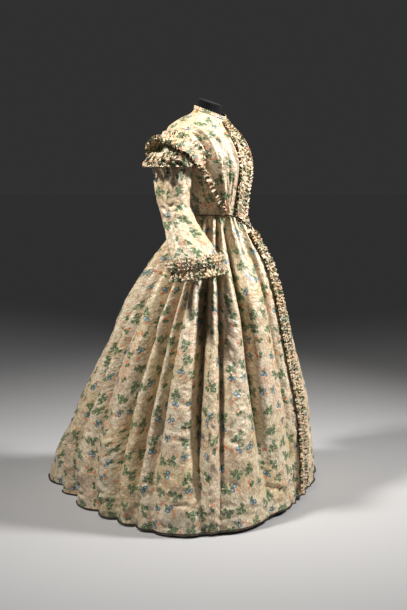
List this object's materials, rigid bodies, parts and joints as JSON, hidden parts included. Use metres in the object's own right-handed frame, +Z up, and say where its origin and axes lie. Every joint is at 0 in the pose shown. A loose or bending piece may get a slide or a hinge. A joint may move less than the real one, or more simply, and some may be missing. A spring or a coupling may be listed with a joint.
{
  "type": "afternoon dress on a dress form",
  "caption": "Long afternoon dress with shoulder capes, ruched trims, bell sleeves, a pointed waist and a wide trained skirt, standing on a limbless dress form.",
  "frame": {"origin": "centre of the stand foot's underside on the floor, under the middle of the waist", "axes": "+Z up, the dress faces -Y with its train towards +Y, and the wearer's left is +X"},
  "size_m": [1.115, 1.0114, 1.4305],
  "materials": {
    "silk": "crisp cream silk with a small printed sprig, soft sheen",
    "ruched_silk": "the same silk gathered into close ruching",
    "braid": "dark brown woven braid, matte",
    "form_cover": "near-black cotton cover, matte",
    "stand_metal": "satin black paint"
  },
  "bodies": {
    "root": {"dress_form": "form_cover", "stand_pole": "stand_metal", "stand_foot": "stand_metal", "bodice_front_right": "silk", "bodice_front_left": "silk", "bodice_back": "silk", "neckband": "silk", "waist_piping": "braid", "bodice_trim_right": "ruched_silk", "bodice_trim_left": "ruched_silk", "skirt_trim_right": "ruched_silk", "skirt_trim_left": "ruched_silk", "skirt_front_right": "silk", "skirt_side_right": "silk", "skirt_back_right": "silk", "skirt_front_left": "silk", "skirt_side_left": "silk", "skirt_back_left": "silk", "hem_braid_right": "braid", "hem_braid_left": "braid", "cape_right": "silk", "cape_trim_right": "ruched_silk", "cape_left": "silk", "cape_trim_left": "ruched_silk", "sleeve_top_right": "silk", "sleeve_under_right": "silk", "cuff_trim_right": "ruched_silk", "cuff_frill_right": "silk", "sleeve_cap_right": "ruched_silk", "sleeve_top_left": "silk", "sleeve_under_left": "silk", "cuff_trim_left": "ruched_silk", "cuff_frill_left": "silk", "sleeve_cap_left": "ruched_silk"}
  },
  "joints": []
}
